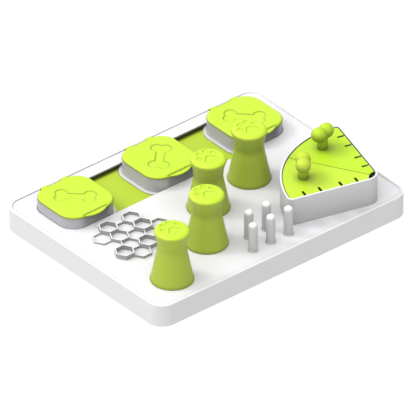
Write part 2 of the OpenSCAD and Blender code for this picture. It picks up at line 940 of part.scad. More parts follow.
top_shell();
bottom_plate();
rubber_feet();
casing_screws();
slide_track();
track_screws();
comb(cells_back_left);  // comb_back_left
comb(cells_back_right);  // comb_back_right
comb(cells_front_left);  // comb_front_left
comb(cells_front_right);  // comb_front_right
comb_low();
treat_pegs();
treat_seats();
fan_well();
well_screws();
cup(cup_x[0]);  // cup_left
cup(cup_x[1]);  // cup_middle
cup(cup_x[2]);  // cup_right
lid(cup_x[0], -45);  // lid_left
lid(cup_x[1], 45);  // lid_middle
lid(cup_x[2], -45);  // lid_right
hinge_pin(cup_x[0]);  // hinge_pin_left
hinge_pin(cup_x[1]);  // hinge_pin_middle
hinge_pin(cup_x[2]);  // hinge_pin_right
cone(cone_at[0]);  // cone_front_left
cone(cone_at[1]);  // cone_left
cone(cone_at[2]);  // cone_middle
cone(cone_at[3]);  // cone_right
left_half() fan_lid();  // fan_lid_left
right_half() fan_lid();  // fan_lid_right
left_half() bone_knob();  // bone_knob_left
right_half() bone_knob();  // bone_knob_right
left_half() knob_screw();  // knob_screw_left
right_half() knob_screw();  // knob_screw_right
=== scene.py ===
import math

import bpy
import numpy as np
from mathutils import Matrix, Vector


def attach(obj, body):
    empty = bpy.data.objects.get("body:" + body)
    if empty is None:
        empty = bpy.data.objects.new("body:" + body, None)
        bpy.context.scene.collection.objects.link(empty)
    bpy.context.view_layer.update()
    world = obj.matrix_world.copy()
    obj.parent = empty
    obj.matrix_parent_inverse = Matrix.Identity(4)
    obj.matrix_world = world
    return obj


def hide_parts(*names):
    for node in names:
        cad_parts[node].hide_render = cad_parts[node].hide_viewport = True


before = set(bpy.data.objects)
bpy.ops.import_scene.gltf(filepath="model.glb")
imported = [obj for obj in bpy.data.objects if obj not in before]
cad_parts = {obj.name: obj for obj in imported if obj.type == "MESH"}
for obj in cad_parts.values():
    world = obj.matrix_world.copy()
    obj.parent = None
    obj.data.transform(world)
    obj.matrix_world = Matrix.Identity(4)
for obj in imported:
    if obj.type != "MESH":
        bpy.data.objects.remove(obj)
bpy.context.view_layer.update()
scene = bpy.context.scene
mm = 0.001
deckTop = 31.0  # height of the deck in millimetres, like the lengths of all pieces below
print("frame loaded:", len(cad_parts), "nodes")


# Shader wiring

# Wraps a socket, so that sums, differences and products of sockets add Math nodes
class Wire:
    def __init__(self, tree, socket=None):
        self.tree = tree
        self.socket = socket

    # A node of that type: settings first, then values or wires for its inputs, then the output that is wanted
    def node(self, kind, settings=None, inputs=None, output=0):
        made = self.tree.nodes.new(kind)
        for key, value in (settings or {}).items():
            setattr(made, key, value)
        for key, value in (inputs or {}).items():
            if isinstance(value, Wire):
                self.tree.links.new(value.socket, made.inputs[key])
            else:
                made.inputs[key].default_value = value
        return Wire(self.tree, made.outputs[output] if made.outputs else None)

    def maths(self, operation, first, second):
        return self.node("ShaderNodeMath", {"operation": operation}, {0: first, 1: second})

    def __add__(self, other):
        return self.maths("ADD", self, other)

    def __sub__(self, other):
        return self.maths("SUBTRACT", self, other)

    def __rsub__(self, other):
        return self.maths("SUBTRACT", other, self)

    def __mul__(self, other):
        return self.maths("MULTIPLY", self, other)

    __radd__ = __add__
    __rmul__ = __mul__

    # From start to end, smoothly, as this value goes from low to high
    def smoothStep(self, low, high, start=0.0, end=1.0):
        return self.node("ShaderNodeMapRange", {"interpolation_type": "SMOOTHSTEP"},
                         {"Value": self, "From Min": low, "From Max": high, "To Min": start, "To Max": end})

    # From the first colour to the second as this value goes from 0 to 1
    def blend(self, first, second):
        return self.node("ShaderNodeMix", {"data_type": "RGBA"}, {0: self, 6: first, 7: second}, 2)


# The emptied node tree of a material or of the world
def emptySheet(owner):
    owner.use_nodes = True
    owner.node_tree.nodes.clear()
    return Wire(owner.node_tree)


# Moulded plastic: the colour goes from side to top as the surface turns upwards, painted light on the tops
# and painted shade on the sides, with faint clouds of colour and polish, and a fine spark-eroded grain as
# bump. It goes to a deep tone of painted shade where a piece's shade values say so, along creases and in
# gaps, or towards the back where a finish has a backShade. Painted shadows add soft round spots of that
# tone where neighbours stand
def mouldedPlastic(name, look):
    material = bpy.data.materials.new(name)
    sheet = emptySheet(material)
    place = sheet.node("ShaderNodeTexCoord", output="Object")
    facing = sheet.node("ShaderNodeTexCoord", output="Normal")
    up = sheet.node("ShaderNodeSeparateXYZ", None, {0: facing}, "Z").smoothStep(*look["turn"])
    clouds = sheet.node("ShaderNodeTexNoise", None, {
        "Vector": place, "Scale": look["cloudScale"], "Detail": look["cloudDetail"]})
    grain = sheet.node("ShaderNodeTexNoise", None, {
        "Vector": place, "Scale": look["grainScale"], "Detail": look["grainDetail"]})
    # Painted light and shade: tops take the lighter colour, sides the darker one
    body = up.blend((*look["side"], 1), (*look["top"], 1))
    cloudy = tuple(c * (1 - look["cloud"]) for c in look["side"])
    colour = (clouds * look["cloudShare"] * (1 - up * look["cloudFade"])).blend(body, (*cloudy, 1))
    # Painted shade: a shade value for each vertex, or a fade towards the back, darkens the colour
    if "backShade" in look:
        paintedShade = sheet.node("ShaderNodeSeparateXYZ", None, {0: place}, "Y").smoothStep(*look["backShade"])
    else:
        paintedShade = sheet.node("ShaderNodeAttribute", {"attribute_name": "paintedShade"}, None, "Fac")
    # Painted shadows: soft round spots of the same dark tone
    for x, y, core, reach, share in look["paintedShadows"]:
        spot = (x, y, look["paintedShadowHeight"])
        gap = sheet.node("ShaderNodeVectorMath", {"operation": "DISTANCE"}, {0: place, 1: spot}, "Value")
        paintedShade = paintedShade + gap.smoothStep(core, reach, share, 0.0)
    colour = paintedShade.blend(colour, (*look["paintedShade"], 1))
    bump = sheet.node("ShaderNodeBump", None, {
        "Strength": look["grainStrength"], "Distance": look["grainHeight"], "Height": grain})
    roughness = clouds * look["polish"] + (look["roughness"] - look["polish"] / 2)
    shader = sheet.node("ShaderNodeBsdfPrincipled", None, {
        "Base Color": colour, "Roughness": roughness, "Normal": bump, "IOR": look["ior"],
        "Metallic": look["metallic"], "Specular IOR Level": look["shine"]})
    sheet.node("ShaderNodeOutputMaterial", None, {"Surface": shader})
    return material


# What the finishes share. Each finish then gives its colours on top and at the side, which paint light and
# shade, and the tone of its painted shade, and what it has of its own. Painted shadows are listed as x, y,
# core and reach in metres, and strength, at one height
sharedLook = {"turn": (0.2, 0.9), "roughness": 0.42, "polish": 0.12, "ior": 1.46, "shine": 0.3,
              "metallic": 0.0, "grainScale": 1500, "grainDetail": 2.0, "grainStrength": 0.12,
              "grainHeight": 0.0001, "cloud": 0.06, "cloudShare": 0.4, "cloudFade": 0.8, "cloudScale": 38.0,
              "cloudDetail": 3.0, "paintedShadows": ()}
limeLook = {"top": (0.48, 0.67, 0.034), "paintedShade": (0.08, 0.1, 0.015), "roughness": 0.4, "grainScale": 1400,
            "cloud": 0.1}
plasticLooks = {
    # Painted shadows on the deck: right of the four cones, between cups and cones, left of the well, along
    # its foot
    "white_moulded": {"top": (0.695, 0.69, 0.708), "side": (0.518, 0.518, 0.518),
                      "paintedShade": (0.05, 0.05, 0.052), "cloud": 0.05, "cloudShare": 0.3, "paintedShadowHeight": 0.031,
                      "paintedShadows": ((-0.0375, -0.0918, 0.006, 0.034, 0.13), (0.014, -0.0338, 0.006, 0.034, 0.13),
                               (0.0935, -0.0168, 0.006, 0.034, 0.13), (-0.1205, -0.1248, 0.004, 0.026, 0.1),
                               (-0.0302, 0.0143, 0.006, 0.036, 0.08), (0.0462, -0.0698, 0.004, 0.03, 0.15),
                               (0.0475, -0.124, 0.002, 0.016, 0.12), (0.0729, -0.1293, 0.002, 0.018, 0.12),
                               (0.102, -0.1345, 0.002, 0.018, 0.12), (0.1303, -0.139, 0.002, 0.018, 0.12))},
    "white_walls": {"top": (0.82, 0.82, 0.82), "side": (0.468, 0.468, 0.471), "paintedShade": (0.04, 0.04, 0.042),
                    "turn": (0.05, 0.8)},
    "comb_white": {"top": (0.72, 0.72, 0.72), "side": (0.265, 0.265, 0.268), "paintedShade": (0.05, 0.05, 0.05),
                   "roughness": 0.45, "shine": 0.25},
    "cup_grey": {"top": (0.6, 0.6, 0.6), "side": (0.4, 0.393, 0.413), "paintedShade": (0.06, 0.06, 0.062),
                 "roughness": 0.4},
    "lime_moulded": {**limeLook, "side": (0.25, 0.33, 0.025), "paintedShade": (0.1, 0.13, 0.015),
                     "turn": (0.25, 1.0)},
    "fan_lime": {**limeLook, "side": (0.29, 0.39, 0.03), "paintedShade": (0.1, 0.13, 0.015),
                 # Painted shadows on the fan lids round the knobs' feet, reaching to the side away from the
                 # light
                 "turn": (0.1, 0.97), "paintedShadowHeight": 0.0685,
                 "paintedShadows": ((0.0862, -0.0834, 0.006, 0.018, 0.3), (0.0935, -0.0895, 0.004, 0.027, 0.25),
                          (0.1461, -0.0488, 0.006, 0.018, 0.3), (0.1534, -0.0549, 0.004, 0.027, 0.25))},
    "knob_lime": {**limeLook, "top": (0.42, 0.59, 0.023), "side": (0.165, 0.228, 0.014),
                  "paintedShade": (0.08, 0.1, 0.01), "turn": (-0.45, 1.0), "roughness": 0.46},
    # Painted shade: the track is a darker copy of the lime for the slot's shade, darker still towards the
    # back wall
    "lime_track": {**limeLook, "top": (0.42, 0.56, 0.034), "side": (0.22, 0.3, 0.03), "turn": (0.0, 0.9),
                   "roughness": 0.45, "shine": 0.25, "backShade": (0.1225, 0.128)},
    "cone_lime": {**limeLook, "side": (0.288, 0.367, 0.035), "turn": (0.19, 0.74), "roughness": 0.42,
                  "shine": 0.28},
    "screw_steel": {"top": (0.55, 0.55, 0.56), "side": (0.42, 0.42, 0.43), "paintedShade": (0.1, 0.1, 0.1),
                    "turn": (-0.5, 0.9), "roughness": 0.32, "grainScale": 2600, "grainStrength": 0.2,
                    "cloud": 0.2, "cloudShare": 0.5, "ior": 1.5, "shine": 0.5, "metallic": 1.0},
    "foot_rubber": {"top": (0.03, 0.03, 0.032), "side": (0.022, 0.022, 0.024), "paintedShade": (0.01, 0.01, 0.01),
                    "turn": (-0.5, 0.9), "roughness": 0.8, "grainScale": 900, "grainStrength": 0.5,
                    "cloud": 0.3, "cloudShare": 0.6, "ior": 1.5},
}
# Neighbours tint some pieces a little in the light, so these have a finish of their own, with painted light:
# the middle and right cups' sides painted cooler against the green thrown on them, the right fan lid's top
# greener and the left knob paler
plasticLooks["cup_grey_cool"] = {**plasticLooks["cup_grey"], "side": (0.418, 0.401, 0.447)}
plasticLooks["fan_lime_right"] = {**plasticLooks["fan_lime"], "top": (0.44, 0.66, 0.022)}
plasticLooks["knob_lime_pale"] = {**plasticLooks["knob_lime"], "top": (0.455, 0.61, 0.034),
                                  "side": (0.215, 0.275, 0.026)}
finishes = {name: mouldedPlastic(name, {**sharedLook, **look}) for name, look in plasticLooks.items()}
print("materials:", len(finishes))


# Surfaces

# Loops of points become a shell: quads between neighbouring loops, and the first and last loops are
# closed by a fan to their middle, or joined to each other in a ring. Each loop or point may have a
# painted shade value, from 0 to 1
def shell(rows, paintedShade=0.0, ring=False):
    rows = np.asarray(rows, float)
    count, cols = rows.shape[:2]
    points = rows.reshape(-1, 3)
    paintedShade = np.asarray(paintedShade, float)
    paintedShade = np.broadcast_to(paintedShade[:, None] if paintedShade.ndim == 1 else paintedShade, (count, cols)).ravel()
    i = np.arange(count if ring else count - 1)[:, None] * cols
    above = (i + cols) % (count * cols)
    j = np.arange(cols)[None]
    beside = (j + 1) % cols
    quads = np.stack([i + j, i + beside, above + beside, above + j], -1).reshape(-1, 4)
    if ring:
        return points, quads, np.zeros((0, 3), int), paintedShade
    points = np.concatenate([points, rows[:1].mean(1), rows[-1:].mean(1)])
    j, beside = j[0], beside[0]
    last = (count - 1) * cols
    fans = np.concatenate([np.stack([0 * j + count * cols, beside, j], 1),
                           np.stack([0 * j + count * cols + 1, last + j, last + beside], 1)])
    return points, quads, fans, np.concatenate([paintedShade, [paintedShade[:cols].mean(), paintedShade[-cols:].mean()]])


# A new object in the scene, left at the origin
def addObject(name, data):
    made = bpy.data.objects.new(name, data)
    scene.collection.objects.link(made)
    return made


# Writes a painted shade value for each vertex, which darkens its colour
def markPaintedShade(mesh, paintedShade):
    mark = mesh.attributes.new("paintedShade", "FLOAT", "POINT")
    mark.data.foreach_set("value", np.clip(paintedShade, 0, 1).astype(np.float32))


# Several shells in millimetres become one piece in metres. Each vertex takes the mean of its faces'
# normals, weighted by their areas, so flat faces stay flat beside small roundings
def makePiece(name, shells, finish, body, replaced=()):
    starts = np.cumsum([0] + [len(s[0]) for s in shells[:-1]])
    points = np.concatenate([s[0] for s in shells]) * mm
    quads = np.concatenate([s[1] + start for s, start in zip(shells, starts)])
    fans = np.concatenate([s[2] + start for s, start in zip(shells, starts)])
    mesh = bpy.data.meshes.new(name)
    mesh.from_pydata(points.tolist(), [], quads.tolist() + fans.tolist())
    normals = np.zeros_like(points)
    across = np.cross(points[quads[:, 2]] - points[quads[:, 0]], points[quads[:, 3]] - points[quads[:, 1]])
    for k in range(4):
        np.add.at(normals, quads[:, k], across)
    if len(fans):
        across = np.cross(points[fans[:, 1]] - points[fans[:, 0]], points[fans[:, 2]] - points[fans[:, 0]])
        for k in range(3):
            np.add.at(normals, fans[:, k], across)
    normals /= np.maximum(np.linalg.norm(normals, axis=1, keepdims=True), 1e-20)
    mesh.shade_smooth()
    mesh.normals_split_custom_set_from_vertices(normals.tolist())
    mesh.materials.append(finishes[finish])
    markPaintedShade(mesh, np.concatenate([s[3] for s in shells]))
    piece = addObject(name, mesh)
    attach(piece, body)
    if replaced:
        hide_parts(*replaced)


# Profile of corners (offset, height, radius): each corner gives way to an arc that touches both sides
def roundedProfile(corners, steps=5):
    points = []
    for k, (offset, height, radius) in enumerate(corners):
        here = np.array([offset, height], float)
        if radius == 0:
            points.append(here[None])
            continue
        before = np.array(corners[k - 1][:2], float) - here
        after = np.array(corners[(k + 1) % len(corners)][:2], float) - here
        before /= np.linalg.norm(before)
        after /= np.linalg.norm(after)
        half = math.acos(max(-1, min(1, before @ after))) / 2
        middle = here + (before + after) / np.linalg.norm(before + after) * radius / math.sin(half)
        start = here + before * radius / math.tan(half) - middle
        end = here + after * radius / math.tan(half) - middle
        share = np.linspace(0, 1, steps + 1)[:, None]
        sweep = math.pi - 2 * half
        arcPoints = (np.sin((1 - share) * sweep) * start + np.sin(share * sweep) * end) / math.sin(sweep)
        points.append(middle + arcPoints)
    return np.concatenate(points)


# Even angles round a full turn
def fullTurn(columns):
    return np.linspace(0, 2 * math.pi, columns, endpoint=False)


# Points (cosine, sine) of the unit circle at each angle
def unitCircle(turns):
    return np.stack([np.cos(turns), np.sin(turns)], -1)


# Points in plan turned about the origin: x cos - y sin, and x sin + y cos
def turnPlan(plan, angle):
    x, y = plan[..., 0], plan[..., 1]
    c, s = math.cos(angle), math.sin(angle)
    return np.stack([x * c - y * s, x * s + y * c], -1)


# Arc about a middle: its points are the middle plus radius times the unit circle
def arc(middle, radius, first, last, count):
    return np.asarray(middle) + np.reshape(radius, (-1, 1)) * unitCircle(np.linspace(first, last, count))


# Rectangle with round corners, anticlockwise: four arcs about the corners' middles
def roundRect(length, width, radius, middle=(0, 0), steps=14):
    radius = max(radius, 0.1)
    turns = (np.arange(4)[:, None] * math.pi / 2 + np.linspace(0, math.pi / 2, steps)).ravel()
    signs = np.repeat([[1, 1], [-1, 1], [-1, -1], [1, -1]], steps, 0)
    return signs * [length / 2 - radius, width / 2 - radius] + middle + radius * unitCircle(turns)


# A loop of points in plan at one height, or at a height for each point
def atHeight(plan, height):
    return np.concatenate([plan, np.broadcast_to(np.reshape(height, (-1, 1)), (len(plan), 1))], 1)


# Loops of points (x, y) with a height each, moved in plan to their middle
def heightRows(x, y, height, middle):
    return list(np.stack([x + middle[0], y + middle[1], height], -1))


# Profile (inset, height) carried round a rectangle with round corners
def roundRectRows(length, width, radius, middle, profile):
    return [atHeight(roundRect(length - 2 * d, width - 2 * d, radius - d, middle), z) for d, z in profile]


# Profile (radius, height) turned about an upright axis
def turned(middle, profile, columns):
    circle = unitCircle(fullTurn(columns))
    return [atHeight(circle * r + middle, z) for r, z in profile]


# A turned shell at each of several places
def turnedShells(places, profile, columns, paintedShade=0.0):
    return [shell(turned(place, profile, columns), paintedShade) for place in places]


# The same place in each quarter of the board
def fourPlaces(x, y):
    return [(sx * x, sy * y) for sx in (-1, 1) for sy in (-1, 1)]


# Profile (x, radius) turned about an axis along X at that y and z
def rodAlongX(y, z, profile, columns=40):
    turns = fullTurn(columns)
    return [np.stack([0 * turns + x, y + r * np.cos(turns), z + r * np.sin(turns)], 1) for x, r in profile]


# 1 inside a shape and 0 outside, with a smooth step over the width around its edge
def softMask(distance, width):
    t = np.clip(0.5 - distance / width, 0, 1)
    return t * t * (3 - 2 * t)


# Bell: 1 at a distance of 0, and e to the minus (distance / width) squared away from it
def bell(distance, width):
    return np.exp(-(distance / width) ** 2)


# Least of two distances, rounded where they meet
def blendMin(a, b, k):
    h = np.clip(0.5 + 0.5 * (b - a) / k, 0, 1)
    return b + (a - b) * h - k * h * (1 - h)


# Fall of a rounded edge at a distance inwards from the outline
def edgeFall(distance, radius):
    return radius - np.sqrt(np.maximum(radius**2 - (radius - np.clip(distance, 0, radius)) ** 2, 0))


# Casing: skirt, rim and deck, in to the slot of the cups and back under the deck, with a rail below. Its
# shade values, as all that follow, are painted shade. A fade has a strength, where it starts and its width
casing = {"length": 400, "width": 300, "corner": 21, "low": 1.0, "lowEdge": 0.7, "wall": 3.0, "under": 28.0,
          "rimTop": 32.0, "rimWidth": 3.5, "rimEdge": 1.2, "rimInnerEdge": 0.45, "rimFoot": 0.4,
          "rowY": 88.5, "slotLength": 350.5, "slotWidth": 79.6, "slotCorner": 23.0, "slotEdge": 0.5,
          "railNear": 1.6, "railFar": 3.2, "railLow": 26.2, "rimShade": 0.75, "slotShade": 0.85,
          "seamShade": 0.3, "rightFade": (0.4, 185, 20), "cornerFade": (0.45, 160, 120, 30)}


def makeCasing():
    c = casing
    plan = (c["length"], c["width"], c["corner"], (0, 0))
    slotPlan = (c["slotLength"], c["slotWidth"], c["slotCorner"], (0, c["rowY"]))
    outside = roundedProfile([(c["wall"], c["low"], 0), (0, c["low"], c["lowEdge"]),
                              (0, c["rimTop"], c["rimEdge"]), (c["rimWidth"], c["rimTop"], c["rimInnerEdge"]),
                              (c["rimWidth"], deckTop, c["rimFoot"]), (c["rimWidth"] + 6, deckTop, 0)])
    slot = roundedProfile([(-6, deckTop, 0), (0, deckTop, c["slotEdge"]), (0, c["under"], 0.3),
                           (-4, c["under"], 0)])
    rows = roundRectRows(*plan, outside) + roundRectRows(*slotPlan, slot)
    rows += roundRectRows(*plan, [(c["wall"] + 0.3, c["under"]), (c["wall"], c["under"] - 0.3)])
    # Painted shade on the rim's inner side, the seam above the floor plate and the slot's edge
    rimShade = c["rimShade"] * bell(outside[:, 0] - c["rimWidth"] - 0.05, 0.25)
    rimShade[outside[:, 1] > c["rimTop"] - 0.12] = 0
    slotShade = c["slotShade"] * softMask(slot[:, 1] - (deckTop - c["slotEdge"]), 0.6)
    shade = np.repeat(np.concatenate([rimShade, slotShade, [c["seamShade"]] * 2])[:, None], len(rows[0]), 1)
    # The rim's painted shade line is fainter along the right side, and most of all at its back corner
    x, y = roundRect(*plan).T
    strength, start, width = c["rightFade"]
    fade = 1 - strength * softMask(start - x, width)
    strength, startX, startY, width = c["cornerFade"]
    shade[:len(outside)] *= fade - strength * softMask(startX - x, width) * softMask(startY - y, width)
    rail = roundedProfile([(-c["railNear"], c["railLow"], 0), (-c["railFar"], c["railLow"], 0.2),
                           (-c["railFar"], c["under"], 0.1), (-c["railNear"], c["under"], 0.1)], 2)
    # Painted shade all over the rail under the slot's edge
    railShade = np.full(len(rail), c["slotShade"])
    shells = [shell(rows, shade, True), shell(roundRectRows(*slotPlan, rail), railShade, True)]
    makePiece("casing_moulded", shells, "white_moulded", "base", ("top_shell",))
    print("casing made")


# Cups: flange, wall with a soft foot and rim, inside with a coved floor, and the hinge lug on its gusset
cup = {"width": 79, "corner": 22.7, "wall": 2.0, "low": 24.9, "rim": 44.7, "rimEdge": 0.6, "floor": 2.0,
       "cove": 3.0, "flange": 4.5, "flangeThick": 1.0, "flangeEdge": 0.45, "flangeFoot": 1.2,
       "hingeY": 129.2, "hingeZ": 45.2, "lugRadius": 2.4, "lugHalf": 10.6, "gusset": 7.7,
       "lugEnds": ((0, 0.93), (0.15, 0.98), (0.4, 1)), "footShade": 0.4, "flangeShade": 0.6, "rimShade": 0.28,
       "tabShade": 0.53, "tabShadeRise": 0.22, "tabShadeX": 3, "tabShadeHalf": 20, "tabShadeFade": 18}
cupPlaces = {"left": -135, "middle": 0, "right": 135}  # along X


def makeCup(name, x):
    c = cup
    y = casing["rowY"]
    flangeTop = c["low"] + c["flangeThick"]
    floorTop = c["low"] + c["floor"]
    profile = roundedProfile([(8, c["low"], 0), (-c["flange"], c["low"], 0.3),
                              (-c["flange"], flangeTop, c["flangeEdge"]), (0, flangeTop, c["flangeFoot"]),
                              (0, c["rim"], c["rimEdge"]), (c["wall"], c["rim"], c["rimEdge"]),
                              (c["wall"], floorTop, c["cove"]), (12, floorTop, 0)], 6)
    rows = roundRectRows(c["width"], c["width"], c["corner"], (x, y), profile)
    # Painted shade where the wall stands on the flange, at the flange's outer edge, and up towards the lid
    inset, z = profile.T
    shade = c["footShade"] * bell(inset + 0.2, 0.5) * bell(z - flangeTop, 1.0)
    shade += c["flangeShade"] * softMask(inset + c["flange"] - 0.25, 0.4)
    upper = np.clip((z - flangeTop) / (c["rim"] - flangeTop), 0, 1) * (inset < 0.1)
    # In front, the wall has a painted shadow below the lid's tab
    plan = roundRect(c["width"], c["width"], c["corner"])
    front = (softMask(plan[:, 1] + c["width"] / 2 - 3, 8)
             * softMask(np.abs(plan[:, 0] - c["tabShadeX"]) - c["tabShadeHalf"], c["tabShadeFade"]))
    below = np.outer(upper > 0.05, front) * (c["tabShade"] + c["tabShadeRise"] * upper[:, None])
    shade = shade[:, None] + (c["rimShade"] * upper**2)[:, None] + below
    # The lug's side view: a quarter circle behind the hinge axis, then the gusset's slope back to the wall
    wallY = y + c["width"] / 2 - c["wall"] / 2
    back = arc((c["hingeY"], c["hingeZ"]), c["lugRadius"], 0, math.pi / 2, 12)
    side = np.concatenate([
        [[wallY, c["hingeZ"] - c["gusset"]], [c["hingeY"] + c["lugRadius"], c["hingeZ"] - c["lugRadius"]]],
        back, [[wallY, c["hingeZ"] + c["lugRadius"]]]])
    centre = side.mean(0)
    ends = [(inward - c["lugHalf"], shrink) for inward, shrink in c["lugEnds"]]
    ends += [(c["lugHalf"] - inward, shrink) for inward, shrink in c["lugEnds"][::-1]]
    lug = [np.concatenate([np.full((len(side), 1), x + across), centre + (side - centre) * shrink], 1)
           for across, shrink in ends]
    makePiece(name + "_moulded", [shell(rows, shade), shell(lug)],
              "cup_grey" if name == "cup_left" else "cup_grey_cool", name, (name,))


# Lids: a soft square with a lower finger tab in front, a bone pressed into the top, a lip below and
# two hinge knuckles behind. The top is a height over a grid of rays from the lid's middle
lid = {"width": 80, "corner": 23.2, "low": 45.0, "top": 48.5, "edge": 3.1, "crown": 0.3, "crownReach": 14,
       "tabReach": 4.5, "tabBack": 2.5, "tabWidth": 39.5, "tabThick": 1.8, "tabEdge": 0.9, "tabBlend": 0.9,
       "engrave": 0.8, "engraveEdge": 1.1, "boneTurns": {"left": -45, "middle": 45, "right": -45},
       "boneLength": 35.8, "boneSpread": 10.6, "boneLobe": 7.6, "boneShaft": 10.8, "boneBlend": 1.2,
       "lipWidth": 74.2, "lipCorner": 20.3, "lipThick": 1.4, "lipLow": 43.0,
       "pocketTop": 46.3, "notchHalf": 11.2, "notchY": 37.9, "knuckle": 2.6, "knuckleX": 16,
       "knuckleLength": 10, "knuckleEdge": 0.5, "creaseShade": 0.42, "edgeShade": 0.5,
       "insideShade": 0.1, "lowEdgeShade": 0.7, "columns": 480, "boneArea": 26.5, "boneRows": 112,
       "wideRows": 24, "wideFrom": 4.2, "edgeRows": (0, 0.07, 0.22, 0.45, 0.75, 1.1, 1.55, 2.1, 2.8, 3.6)}


# Length of the ray from the middle of a rectangle with round corners to its outline, at each angle
def roundRectReach(turns, width, radius):
    c, s = np.abs(np.cos(turns)), np.abs(np.sin(turns))
    inner = width / 2 - radius
    corner = inner * (c + s) + np.sqrt(np.maximum(radius**2 - (inner * (s - c)) ** 2, 0))
    straight = width / 2 / np.maximum(c, s)
    return np.where((corner * c > inner) & (corner * s > inner), corner, straight)


# Distance inwards from the outline of a square with round corners
def squareDepth(x, y, width, radius):
    qx, qy = np.abs(x) - width / 2 + radius, np.abs(y) - width / 2 + radius
    return radius - np.hypot(np.maximum(qx, 0), np.maximum(qy, 0)) - np.minimum(np.maximum(qx, qy), 0)


# Painted shade round a pressed-in outline, at a distance from it
def outlineShade(distance):
    return 0.5 * bell(distance - 0.1, 0.8)


# Distance to the outline of a bone turned by an angle: two round lobes at each end of a straight shaft
def boneDistance(x, y, turn):
    u, v = np.abs(x * math.cos(turn) + y * math.sin(turn)), np.abs(y * math.cos(turn) - x * math.sin(turn))
    shaft = np.maximum(u - lid["boneLength"] / 2, v - lid["boneShaft"] / 2)
    lobe = np.hypot(u - lid["boneLength"] / 2, v - lid["boneSpread"] / 2) - lid["boneLobe"]
    return blendMin(shaft, lobe, lid["boneBlend"])


def makeLid(name, x, turn):
    d = lid
    turns = fullTurn(d["columns"])
    rays = unitCircle(turns)
    # The tab's front is a flat arc, the rim of a lens that reaches back under the plate
    deep = d["tabReach"] + d["tabBack"]
    lensR = ((d["tabWidth"] / 2) ** 2 + deep**2) / (2 * deep)
    lensY = -d["width"] / 2 - d["tabReach"] + lensR
    lensReach = lensY * rays[:, 1] + np.sqrt(np.maximum(lensR**2 - (lensY * rays[:, 0]) ** 2, 0))
    border = -blendMin(-roundRectReach(turns, d["width"], d["corner"]), -lensReach, d["tabBlend"])
    # Between the knuckles the outline is cut straight, clear of the hinge lug
    notch = (np.abs(border * rays[:, 0]) < d["notchHalf"]) & (rays[:, 1] > 0)
    border = np.where(notch, d["notchY"] / np.maximum(rays[:, 1], 0.5), border)
    # Rows are close at the rounded edge and over the bone, and wider apart between them
    outer = np.array(d["edgeRows"])[:, None]
    share = np.linspace(1, 0, d["wideRows"])[:-1, None]
    reach = np.concatenate([border - outer, d["boneArea"] + (border - d["wideFrom"] - d["boneArea"]) * share,
                            np.linspace(d["boneArea"], 0.2, d["boneRows"])[:, None] + 0 * border])
    px, py = reach * rays[:, 0], reach * rays[:, 1]
    depth = squareDepth(px, py, d["width"], d["corner"])
    lensDepth = lensR - np.hypot(px, py - lensY)
    crease = np.minimum(lensDepth, -d["width"] / 2 + d["tabBack"] - py)
    crown = d["crown"] * (1 - np.clip(depth / d["crownReach"], 0, 1)) ** 2
    plate = d["top"] - edgeFall(depth, d["edge"]) - crown
    tab = d["low"] + d["tabThick"] - edgeFall(np.maximum(depth, lensDepth), d["tabEdge"])
    height = plate + (tab - plate) * softMask(-crease, 0.5)
    bone = boneDistance(px, py, turn)
    height = height - d["engrave"] * softMask(bone, d["engraveEdge"])
    # Painted shade along the bone's outline, under the crease and at the plate's lower edge
    shade = outlineShade(bone)
    shade = np.maximum(shade, d["creaseShade"] * bell(crease - 0.2, 0.5) * softMask(-depth - 0.3, 1))
    shade = np.maximum(shade, d["edgeShade"] * softMask(np.maximum(depth, lensDepth) - 0.35, 0.7))
    middle = np.array([x, casing["rowY"]])
    top = heightRows(px, py, height, middle)
    # Below, the pocket's roof, the lip's two sides and the plate's underside
    lipOut = roundRectReach(turns, d["lipWidth"], d["lipCorner"])[:, None]
    lipIn = roundRectReach(turns, d["lipWidth"] - 2 * d["lipThick"], d["lipCorner"] - d["lipThick"])[:, None]
    edge = border[:, None]
    below = [(lipIn - 1.2, d["pocketTop"]), (lipIn - 0.3, d["pocketTop"] - 0.1),
             (lipIn, d["pocketTop"] - 0.5), (lipIn, d["lipLow"] + 0.3), (lipIn + 0.3, d["lipLow"]),
             (lipOut - 0.3, d["lipLow"]), (lipOut, d["lipLow"] + 0.3), (lipOut, d["low"] - 0.15),
             (lipOut + 0.15, d["low"]), (edge - 0.3, d["low"]), (edge, d["low"] + 0.25)]
    low = [atHeight(rays * reachOut + middle, z) for reachOut, z in below]
    # Painted shade below: faint on the underside, stronger on the last three rows at the plate's low outer
    # edge
    under = np.repeat([d["insideShade"], d["lowEdgeShade"]], [len(low) - 3, 3])
    shade = np.concatenate([np.broadcast_to(under[:, None], (len(low), d["columns"])), shade])
    half = d["knuckleLength"] / 2
    rod = roundedProfile([(-half, 0.6, 0), (-half, d["knuckle"], d["knuckleEdge"]),
                          (half, d["knuckle"], d["knuckleEdge"]), (half, 0.6, 0)], 3)
    shells = [shell(low + top, shade)]
    for side in (-1, 1):
        shells.append(shell(rodAlongX(cup["hingeY"], cup["hingeZ"], rod + [x + side * d["knuckleX"], 0])))
    makePiece(name + "_moulded", shells, "lime_moulded", name, (name,))


